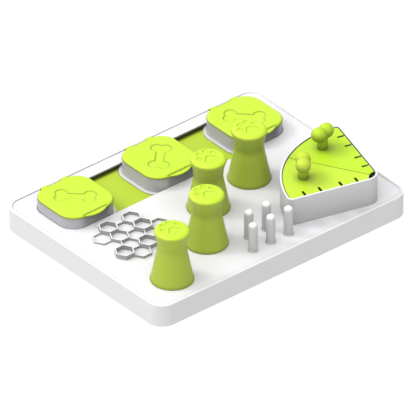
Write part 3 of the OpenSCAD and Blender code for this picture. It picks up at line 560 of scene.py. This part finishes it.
# Cones: foot band, tapering side, waist, flare and round top, hollow below, with a paw pressed into the
# top. Each neck has painted shade as a whole and at the waist, as much as its neighbours would shade it
cone = {"foot": 27.4, "band": 1.5, "step": 0.6, "waist": 18.2, "waistHeight": 45.5, "top": 22.3,
        "height": 73.5, "edge": 5.2, "wall": 2.2, "paw": 19.0, "engrave": 0.8, "engraveEdge": 0.8,
        "footShade": 0.65, "footShadeFall": 0.5, "pawShade": 0.52, "sideRows": (4, 38.5, 42), "columns": 288,
        "neckShade": {"cone_front_left": (0.0, 0.09), "cone_left": (0.04, 0.2), "cone_middle": (0.13, 0.2),
                      "cone_right": (0.16, 0.2)},
        "neckFrom": 44, "neckTo": 69, "neckMiddle": 50, "neckWidth": 8}
conePlaces = {"cone_front_left": (-143.5, -105.5), "cone_left": (-60.5, -72.5), "cone_middle": (-9, -14.5),
              "cone_right": (70.5, 2.5)}


# Distance to the outline of a paw, in shares of its width: four round toes, and a pad of three joined circles
def pawDistance(x, y, width):
    x, y = np.abs(x) / width, y / width
    toes = np.minimum(np.hypot(x - 0.56, y - 0.24) - 0.16, np.hypot(x - 0.25, y - 0.64) - 0.17)
    pad = blendMin(np.hypot(x, y + 0.14) - 0.3, np.hypot(x - 0.26, y + 0.34) - 0.22, 0.08)
    return np.minimum(toes, pad) * width


# The flare's side view: an arc that leaves the waist upright and reaches the widest radius
def flareProfile(inset, count):
    c = cone
    rise, out = c["height"] - c["edge"] - c["waistHeight"], c["top"] - c["waist"]
    bend = (out**2 + rise**2) / (2 * out)
    turns = np.linspace(0, math.asin(rise / bend), count)
    up = (bend + inset) * np.sin(turns) * rise / (bend * math.sin(turns[-1]))
    return np.stack([c["waist"] + bend - (bend + inset) * np.cos(turns), c["waistHeight"] + up], 1)


def makeCone(name, middle):
    c = cone
    side = c["foot"] - c["step"]
    flat = c["top"] - c["edge"]  # radius of the flat part of the top

    def slope(z):
        return side + (c["waist"] - side) * (z - c["band"]) / (c["waistHeight"] - c["band"])

    inside = roundedProfile([(c["foot"] - 2.4, 0.25, 0), (side - c["wall"], 3, 0.2),
                             (c["waist"] - c["wall"], c["waistHeight"], 0)], 3)[::-1]
    lowInside = np.concatenate([flareProfile(c["wall"], 12)[::-1], inside])
    foot = roundedProfile([(c["foot"] - 2.2, 0, 0), (c["foot"], 0, 0.3), (c["foot"], c["band"], 0.4),
                           (side, c["band"] + 0.1, 0.25), *[(slope(z), z, 0) for z in c["sideRows"]]], 4)
    edge = arc((flat, c["height"] - c["edge"]), c["edge"], 0, math.pi / 2, 10)[1:]
    outside = np.concatenate([foot, flareProfile(0, 14), edge])
    start = np.array([[0.5, c["height"] - c["wall"]], [flat, c["height"] - c["wall"]]])
    profile = np.concatenate([start, lowInside, outside])
    rows = turned(middle, profile + [0, deckTop], c["columns"])
    angles = fullTurn(c["columns"])
    reach = np.linspace(flat, 0.2, 100)[1:, None]
    px, py = reach * np.cos(angles), reach * np.sin(angles)
    paw = pawDistance(px, py, c["paw"])
    rows += heightRows(px, py, deckTop + c["height"] - c["engrave"] * softMask(paw, c["engraveEdge"]), middle)
    # Painted shade at the foot, on the neck and along the paw's outlines
    z = profile[:, 1]
    low = c["footShade"] * np.exp(-np.maximum(z - c["band"] - 0.1, 0) / c["footShadeFall"])
    whole, waist = c["neckShade"][name]
    low += whole * softMask(c["neckFrom"] - z, 6) * softMask(z - c["neckTo"], 4)
    low += waist * bell(z - c["neckMiddle"], c["neckWidth"])
    shade = np.concatenate([np.broadcast_to(low[:, None], (len(low), c["columns"])),
                            c["pawShade"] * outlineShade(paw)])
    makePiece(name + "_moulded", [shell(rows, shade)], "cone_lime", name, (name,))


# Pegs: a soft foot, a straight side and a domed head, with painted shade that grows towards the foot
peg = {"radius": 5.8, "height": 40.5, "flare": 1.0, "flareEdge": 1.2, "straightFrom": 8, "footShade": 0.35,
       "footShadeWidth": 1.2, "lowShade": 0.2, "shadeFall": 0.14, "columns": 48}
pegPlaces = [(-28.1, -122), (0.2, -122), (28.5, -122), (-13.95, -97), (14.35, -97)]


def makePegs():
    p = peg
    foot = roundedProfile([(p["radius"] + p["flare"], 0, 0), (p["radius"] + p["flare"], 0.25, 0.1),
                           (p["radius"], 0.8, p["flareEdge"]), (p["radius"], p["straightFrom"], 0)], 6)
    dome = arc((0, p["height"] - p["radius"]), p["radius"], 0, math.pi / 2, 14)[:-1]
    profile = np.concatenate([foot, dome]) + [0, deckTop]
    rise = profile[:, 1] - deckTop
    shade = p["footShade"] * bell(rise, p["footShadeWidth"])
    shade += p["lowShade"] - p["shadeFall"] * np.clip(rise / p["height"], 0, 1)
    makePiece("pegs_moulded", turnedShells(pegPlaces, profile, p["columns"], shade), "white_walls", "base",
              ("treat_pegs",))
    print("pegs made")


# Seats under the cones: low discs, each with a shallow round dish
seat = {"radius": 23.4, "height": 3.0, "edge": 0.6, "dish": 21.4, "dishDeep": 1.5, "columns": 96}


def makeSeats():
    s = seat
    dishFloor = s["height"] - s["dishDeep"]
    profile = roundedProfile([(s["radius"], 0, 0), (s["radius"], s["height"], s["edge"]),
                              (s["dish"], s["height"], 0.5), (s["dish"] - 1.5, dishFloor, 1.2),
                              (2, dishFloor, 0)], 4) + [0, deckTop]
    makePiece("seats_moulded", turnedShells(conePlaces.values(), profile, s["columns"]), "white_moulded",
              "base", ("treat_seats",))
    print("seats made")


# Fan well and its lids share one frame: the square corner at the origin, the straight sides along its axes
fan = {"place": (160.2, -143.3), "turn": 75.0, "radius": 125.0, "corner": 17.0, "tip": 6.5, "height": 38.5,
       "wall": 2.2, "floor": 2.0, "floorEdge": 2.0, "shelf": 4.0, "shelfDeep": 3.5, "shelfThick": 2.0,
       "openNear": 19.0, "dividerStart": 24.0, "dividerThick": 2.0, "rimEdge": 0.7, "bossRadius": 3.85,
       "bossHeight": 9.6, "bossAlong": (40.0, 105.0), "bossAcross": 5.85, "bossColumns": 32, "rimShade": 0.65,
       "insideShade": 0.15, "sideShade": 0.05, "cornerReach": 16, "footShade": 0.28, "footShadeFall": 0.26}
fan["tipAlong"] = math.sqrt((fan["radius"] - fan["tip"]) ** 2 - fan["tip"] ** 2)
fan["tipTurn"] = math.asin(fan["tip"] / (fan["radius"] - fan["tip"]))


# From the fan's own frame to the board's: turned, then moved
def placeFan(plan):
    return turnPlan(np.asarray(plan, float), math.radians(fan["turn"])) + fan["place"]


# Outline of the fan, drawn in by an inset for each of its points: corner, side, tip, round side, tip, side
def fanOutline(inset):
    f = fan
    counts = [14, 26, 10, 90, 10, 26]
    inset = np.broadcast_to(np.asarray(inset, float), (sum(counts),))
    parts = np.split(inset, np.cumsum(counts)[:-1])
    along = np.linspace(f["corner"], f["tipAlong"], counts[1] + 2)[1:-1]
    right, turn = math.pi / 2, f["tipTurn"]
    return np.concatenate([
        arc((f["corner"], f["corner"]), f["corner"] - parts[0], 2 * right, 3 * right, counts[0]),
        np.stack([along, parts[1]], 1),
        arc((f["tipAlong"], f["tip"]), f["tip"] - parts[2], -right, turn, counts[2]),
        arc((0, 0), f["radius"] - parts[3], turn + 0.01, right - turn - 0.01, counts[3]),
        arc((f["tip"], f["tipAlong"]), f["tip"] - parts[4], right - turn, 2 * right, counts[4]),
        np.stack([parts[5], along[::-1]], 1)])


# Well: wall, rim, shelf and floor are the outline at many insets. The shelf leaves the corner open
def makeFanWell():
    f = fan
    wall, rim, floorTop = f["wall"], deckTop + f["height"], deckTop + f["floor"]
    shelf = rim - f["shelfDeep"]
    shelfLow = shelf - f["shelfThick"]
    away = np.hypot(*fanOutline(wall).T)
    ledge = f["shelf"] * (1 - softMask(away - f["openNear"] - 0.6, 1.2))
    outer = roundedProfile([(3, deckTop, 0), (0, deckTop, 0.15), (0, rim, f["rimEdge"]),
                            (wall, rim, f["rimEdge"]), (wall, shelf + 0.3, 0)], 4)
    inner = [(wall + ledge * 0.06, shelf), (wall + ledge * 0.95, shelf), (wall + ledge, shelf - 0.2),
             (wall + ledge, shelfLow + 0.2), (wall + ledge * 0.95, shelfLow),
             (wall + ledge * 0.05, shelfLow), (wall, shelfLow - 0.3)]
    low = roundedProfile([(wall, shelfLow - 4, 0), (wall, floorTop, f["floorEdge"]), (6.2, floorTop, 0)], 5)
    rows = [atHeight(placeFan(fanOutline(d)), z) for d, z in [*outer, *inner, *low]]
    # The band from just below the rim's edge down to the shelf, and more faintly the inside, have painted
    # shade by the corner gap, and barely beside the lids. The outer wall has more painted shade towards its
    # foot
    bandShade = f["rimShade"] * softMask(outer[:, 1] - rim + 0.5, 0.6) * (outer[:, 0] > wall - 0.4)
    depth = np.concatenate([bandShade, np.full(len(inner) + len(low), f["insideShade"])])
    byCorner = softMask(f["cornerReach"] - away, 4)
    shade = depth[:, None] * (f["sideShade"] + (1 - f["sideShade"]) * byCorner)
    rise = np.clip((outer[:, 1] - deckTop) / f["height"], 0, 1)
    footShade = (f["footShade"] - f["footShadeFall"] * rise) * (outer[:, 0] < 0.1)
    shade[:len(outer)] += footShade[:, None]
    # Divider: a thin upright wall along the middle, as loops of one outline with a soft upper edge
    strips = []
    for inset, z in ((0, deckTop + 1), (0, shelf - 0.3), (0.3, shelf)):
        a, b = f["dividerStart"] + inset, f["radius"] - wall / 2 - inset
        t = f["dividerThick"] / 2 - inset
        plan = np.array([[a, -t], [b, -t], [b, t], [a, t]])
        strips.append(atHeight(placeFan(turnPlan(plan, math.pi / 4)), z))
    # Screw bosses beside the straight sides
    boss = roundedProfile([(f["bossRadius"], 0.5, 0), (f["bossRadius"], f["bossHeight"], 0.4),
                           (0.3, f["bossHeight"], 0)], 3) + [0, deckTop]
    spots = [spot for d in f["bossAlong"] for spot in ((d, f["bossAcross"]), (f["bossAcross"], d))]
    shells = [shell(rows, shade), shell(strips)] + turnedShells(placeFan(spots), boss, f["bossColumns"])
    makePiece("fan_well_moulded", shells, "white_walls", "base", ("fan_well",))
    print("fan well made")


# Fan lids: a thin plate with scent slots along its straight side. The outline is drawn once, and the
# left lid is its mirror image; a Bevel modifier rounds the plate's edges
fanLid = {"inset": 3.3, "low": 66.0, "top": 68.5, "seam": 0.38, "cornerGap": 16.0, "edge": 0.6,
          "edgeSteps": 3, "edgeShades": (1.0, 0.8, 0.0), "slots": (101.5, 79.9, 52.1, 30.9), "slotWidth": 3.1,
          "slotLength": 9.5, "bossRadius": 5.3, "bossHole": 3.1, "bossLow": 64.4, "bossTop": 67,
          "bossColumns": 48}
knob = {"away": 96.5, "turn": 24.0, "stem": 6.6, "flare": 0.15, "flareHeight": 1.4, "ball": 9.5, "gap": 14.0,
        "height": 22.5, "blend": 1.4, "stemShade": 0.72, "shadeTo": 5.5, "shadeFade": 8, "columns": 128,
        "footShare": 0.86, "footRows": 30, "ballRows": 72, "farthest": 40.0, "halvings": 30}


# Right lid in the fan's own frame: corner gap, straight side with its slots, tip and round side to the seam
def fanLidOutline():
    f, g = fan, fanLid
    near, far = g["cornerGap"], f["radius"] - g["inset"]
    middle = math.pi / 4
    outline = [arc((0, 0), near, middle - math.asin(g["seam"] / near), math.asin(g["inset"] / near), 14)]
    for d in g["slots"][::-1]:
        a, b = d - g["slotWidth"] / 2, d + g["slotWidth"] / 2
        end = g["inset"] + g["slotLength"]
        outline.append(np.array([[a, g["inset"]], [a, end], [b, end], [b, g["inset"]]]))
    outline.append(arc((f["tipAlong"], f["tip"]), f["tip"] - g["inset"], -math.pi / 2, f["tipTurn"], 9))
    outline.append(arc((0, 0), far, f["tipTurn"] + 0.01, middle - math.asin(g["seam"] / far), 50))
    return np.concatenate(outline)


def makeFanLid(name, mirrored):
    g = fanLid
    plan = fanLidOutline()
    spot = knob["away"] * unitCircle(math.radians(knob["turn"]))[None]
    if mirrored:
        plan, spot = plan[::-1, ::-1], spot[:, ::-1]
    plan = placeFan(plan)
    count = len(plan)
    heights = (g["low"], g["top"] - g["edge"] - 0.1, g["top"])
    points = np.concatenate([atHeight(plan, z) for z in heights]) * mm
    j = np.arange(count)
    sides = np.stack([j, (j + 1) % count, (j + 1) % count + count, j + count], 1)
    faces = sides.tolist() + (sides + count).tolist() + [j[::-1].tolist(), (j + 2 * count).tolist()]
    mesh = bpy.data.meshes.new(name)
    mesh.from_pydata(points.tolist(), [], faces)
    mesh.shade_smooth()
    mesh.materials.append(finishes["fan_lime_right" if name.endswith("right") else "fan_lime"])
    # Painted shade on the plate's sides and underside, fading out at the top
    markPaintedShade(mesh, np.repeat(g["edgeShades"], count))
    piece = addObject(name + "_moulded", mesh)
    bevel = piece.modifiers.new("soft edges", "BEVEL")
    bevel.width = g["edge"] * mm
    bevel.segments = g["edgeSteps"]
    bevel.limit_method = "ANGLE"
    bevel.angle_limit = math.radians(40)
    bevel.harden_normals = True
    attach(piece, name)
    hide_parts(name)
    # Boss under the plate round the knob's screw
    boss = roundedProfile([(g["bossHole"], g["bossLow"] + 0.1, 0), (g["bossRadius"], g["bossLow"], 0.3),
                           (g["bossRadius"], g["bossTop"], 0)], 3)
    makePiece(name + "_boss", turnedShells(placeFan(spot), boss, g["bossColumns"]), "lime_moulded", name)


# Knobs like the end of a bone: each ray from the middle between the two balls stops where the smooth
# union of balls, stem and flared foot ends, found by halving the step
def makeKnob(name, body, mirrored):
    k = knob
    turns = fullTurn(k["columns"])
    footLean = math.pi * k["footShare"]
    lean = np.concatenate([np.linspace(math.pi, footLean, k["footRows"])[1:],
                           np.linspace(footLean, 0, k["ballRows"])[1:-1]])
    rays = np.stack([np.sin(lean)[:, None] * np.cos(turns), np.sin(lean)[:, None] * np.sin(turns),
                     np.cos(lean)[:, None] + 0 * turns], -1)

    def outside(p):
        balls = np.minimum(np.linalg.norm(p - [0, k["gap"] / 2, 0], axis=-1),
                           np.linalg.norm(p + [0, k["gap"] / 2, 0], axis=-1)) - k["ball"]
        foot = k["flare"] * np.exp(-np.maximum(p[..., 2] + k["height"], 0) / k["flareHeight"])
        stem = np.maximum(np.hypot(p[..., 0], p[..., 1]) - k["stem"] - foot, p[..., 2])
        return np.maximum(blendMin(balls, stem, k["blend"]), -k["height"] - p[..., 2])

    near, far = np.zeros(rays.shape[:2]), np.full(rays.shape[:2], k["farthest"])
    for _ in range(k["halvings"]):
        half = (near + far) / 2
        inside = outside(rays * half[..., None]) < 0
        near, far = np.where(inside, half, near), np.where(inside, far, half)
    local = rays * (near + far)[..., None] / 2
    turn = math.radians(k["turn"])
    plan = turnPlan(local, turn) + k["away"] * unitCircle(turn)
    z = local[..., 2] + fanLid["top"] + k["height"]
    if mirrored:
        plan, z = plan[:, ::-1, ::-1], z[:, ::-1]
    rows = np.concatenate([placeFan(plan), z[..., None]], -1)
    # Painted shade on the stem, fading out upwards
    shade = k["stemShade"] * softMask(z - fanLid["top"] - k["shadeTo"], k["shadeFade"])
    makePiece(name + "_moulded", [shell(rows, shade)],
              "knob_lime_pale" if name.endswith("left") else "knob_lime", body, (name,))


# Screws with a cross recess in the head, four in the corners, four along the long sides and two at the ends
screw = {"head": 2.7, "headHeight": 1.6, "shank": 1.2, "recess": 1.1, "slotHalf": 0.42, "crossReach": 1.75,
         "low": 1.0, "length": 9.9, "inset": 8.85, "cornerShare": 0.21, "longX": 60, "endY": -30,
         "columns": 48}


# The recess is a height over the head's round face, which rises inside either arm of the cross
def screwShell(x, y):
    s = screw
    low, headTop = s["low"], s["low"] + s["headHeight"]
    angles = fullTurn(s["columns"])
    reach = np.concatenate([np.linspace(0.1, 2.0, 14), [2.3, 2.55]])[:, None]
    px, py = reach * np.cos(angles), reach * np.sin(angles)
    arm = np.minimum(np.maximum(np.abs(px) - s["slotHalf"], np.abs(py) - s["crossReach"]),
                     np.maximum(np.abs(py) - s["slotHalf"], np.abs(px) - s["crossReach"]))
    rows = heightRows(px, py, low + s["recess"] * softMask(arm, 0.3), (x, y))
    side = [(s["head"], low + 0.2), (s["head"], headTop - 0.1), (s["shank"] + 0.3, headTop),
            (s["shank"], headTop + 0.2), (s["shank"], headTop + s["length"] - 0.8),
            (0.4, headTop + s["length"])]
    return shell(rows + turned((x, y), side, s["columns"]))


def makeScrews():
    s, c = screw, casing
    corner = s["inset"] + s["cornerShare"] * c["corner"]
    endX, longY = c["length"] / 2, c["width"] / 2
    spots = fourPlaces(endX - corner, longY - corner) + fourPlaces(s["longX"], longY - s["inset"])
    spots += [(sx * (endX - s["inset"]), s["endY"]) for sx in (-1, 1)]
    makePiece("casing_screws_cross", [screwShell(x, y) for x, y in spots], "screw_steel", "base",
              ("casing_screws",))
    print("casing screws made")


# Rubber feet with a rounded edge and three ring grooves below
foot = {"radius": 9.0, "thick": 2.0, "edge": 0.5, "spots": (165, 115), "grooveDeep": 0.3, "grooveFirst": 1.2,
        "grooveRate": 2.6, "columns": 64}


# The grooves below are the upper part of a cosine along the radius
def makeFeet():
    f = foot
    along = np.linspace(0.5, f["radius"] - 0.7, 60)
    wave = np.clip(np.cos((along - f["grooveFirst"]) * f["grooveRate"]) - 0.55, 0, 1) / 0.45
    side = roundedProfile([(f["radius"] - 0.6, 0, 0), (f["radius"], 0, f["edge"]),
                           (f["radius"], f["thick"], 0.2), (0.5, f["thick"], 0)], 4)
    profile = np.concatenate([np.stack([along, f["grooveDeep"] * wave], 1), side[1:]])
    makePiece("feet_moulded", turnedShells(fourPlaces(*f["spots"]), profile, f["columns"]), "foot_rubber",
              "base", ("rubber_feet",))
    print("feet made")


makeCasing()
for side, x in cupPlaces.items():
    makeCup("cup_" + side, x)
    makeLid("lid_" + side, x, math.radians(lid["boneTurns"][side]))
print("cups and lids made")
for name, middle in conePlaces.items():
    makeCone(name, middle)
print("cones made")
makePegs()
makeSeats()
makeFanWell()
for side in ("left", "right"):
    makeFanLid("fan_lid_" + side, side == "left")
    makeKnob("bone_knob_" + side, "fan_lid_" + side, side == "left")
print("fan lids and knobs made")
makeScrews()
makeFeet()

# Finishes of the nodes that keep their CAD shape
nodeFinishes = {
    "white_moulded": ["bottom_plate"],
    "comb_white": ["comb_back_left", "comb_back_right", "comb_front_left", "comb_front_right", "comb_low"],
    "lime_track": ["slide_track"],
    "screw_steel": ["track_screws", "well_screws", "hinge_pin_left", "hinge_pin_middle", "hinge_pin_right",
                    "knob_screw_left", "knob_screw_right"],
}
for finish, names in nodeFinishes.items():
    for name in names:
        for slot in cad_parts[name].material_slots:
            slot.material = finishes[finish]
print("CAD nodes finished")


# Studio, in metres: a pale floor, a soft sky that is brighter on the left, and one broad soft light from
# behind. The camera sees a plain backdrop in place of the sky
studio = {"skyDim": 0.6, "skyBright": 1.95, "skyFrom": (-0.88, 0.02, 0.57), "skyTurn": (-0.6, 1.0),
          "backdrop": 0.97, "floorGlow": 0.97, "floorTint": 0.05, "floorSize": 6.0, "floorCells": 4,
          "sun": 0.7, "sunAngle": 12, "sunFrom": (-0.6, 0.75, 0.9)}
white = (1, 1, 1, 1)


# The floor is an even grid of squares
def makeFloor():
    s = studio
    cells = s["floorCells"]
    steps = np.linspace(-s["floorSize"], s["floorSize"], cells + 1)
    gx, gy = np.meshgrid(steps, steps, indexing="ij")
    points = np.stack([gx.ravel(), gy.ravel(), np.zeros(gx.size)], 1)
    i, j = np.meshgrid(np.arange(cells) * (cells + 1), np.arange(cells), indexing="ij")
    faces = np.stack([i + j, i + j + cells + 1, i + j + cells + 2, i + j + 1], -1).reshape(-1, 4)
    mesh = bpy.data.meshes.new("floor")
    mesh.from_pydata(points.tolist(), [], faces.tolist())
    floor = addObject("floor", mesh)
    material = bpy.data.materials.new("pale_floor")
    sheet = emptySheet(material)
    tint = s["floorTint"]
    matt = sheet.node("ShaderNodeBsdfDiffuse", None, {"Color": (tint, tint, tint, 1)})
    glow = sheet.node("ShaderNodeEmission", None, {"Color": white, "Strength": s["floorGlow"]})
    both = sheet.node("ShaderNodeAddShader", None, {0: matt, 1: glow})
    sheet.node("ShaderNodeOutputMaterial", None, {"Surface": both})
    mesh.materials.append(material)


def makeSkyAndLight():
    s = studio
    world = bpy.data.worlds.new("studio")
    scene.world = world
    sky = emptySheet(world)
    away = sky.node("ShaderNodeTexCoord", output="Generated")
    towards = tuple(Vector(s["skyFrom"]).normalized())
    side = sky.node("ShaderNodeVectorMath", {"operation": "DOT_PRODUCT"}, {0: away, 1: towards}, "Value")
    dim = sky.node("ShaderNodeBackground", None, {"Color": white, "Strength": s["skyDim"]})
    bright = sky.node("ShaderNodeBackground", None, {"Color": white, "Strength": s["skyBright"]})
    dome = sky.node("ShaderNodeMixShader", None, {0: side.smoothStep(*s["skyTurn"]), 1: dim, 2: bright})
    seen = sky.node("ShaderNodeLightPath", None, None, "Is Camera Ray")
    back = sky.node("ShaderNodeBackground", None, {"Color": white, "Strength": s["backdrop"]})
    mixed = sky.node("ShaderNodeMixShader", None, {0: seen, 1: dome, 2: back})
    sky.node("ShaderNodeOutputWorld", None, {"Surface": mixed})
    light = bpy.data.lights.new("broad_light", "SUN")
    light.energy = s["sun"]
    light.angle = math.radians(s["sunAngle"])
    lamp = addObject("broad_light", light)
    lamp.rotation_euler = Vector(s["sunFrom"]).to_track_quat("Z", "Y").to_euler()
    scene.view_settings.view_transform = "Standard"
    scene.view_settings.look = "None"
    print("studio made")


# Camera: parallel projection along the photograph's viewing direction, in degrees and metres
view = {"azimuth": -40.01, "elevation": 34.08, "frame": 0.5089, "target": (0.0175, 0.01785, 0.001),
        "away": 2.0, "near": 0.01, "far": 20}


def makeCamera():
    a, e = math.radians(view["azimuth"]), math.radians(view["elevation"])
    back = Vector((math.sin(a) * math.cos(e), -math.cos(a) * math.cos(e), math.sin(e)))
    data = bpy.data.cameras.new("camera")
    data.type = "ORTHO"
    data.ortho_scale = view["frame"]
    data.clip_start, data.clip_end = view["near"], view["far"]
    camera = addObject("camera", data)
    camera.location = Vector(view["target"]) + back * view["away"]
    camera.rotation_euler = back.to_track_quat("Z", "Y").to_euler()
    scene.camera = camera
    print("camera made")


makeFloor()
makeSkyAndLight()
makeCamera()
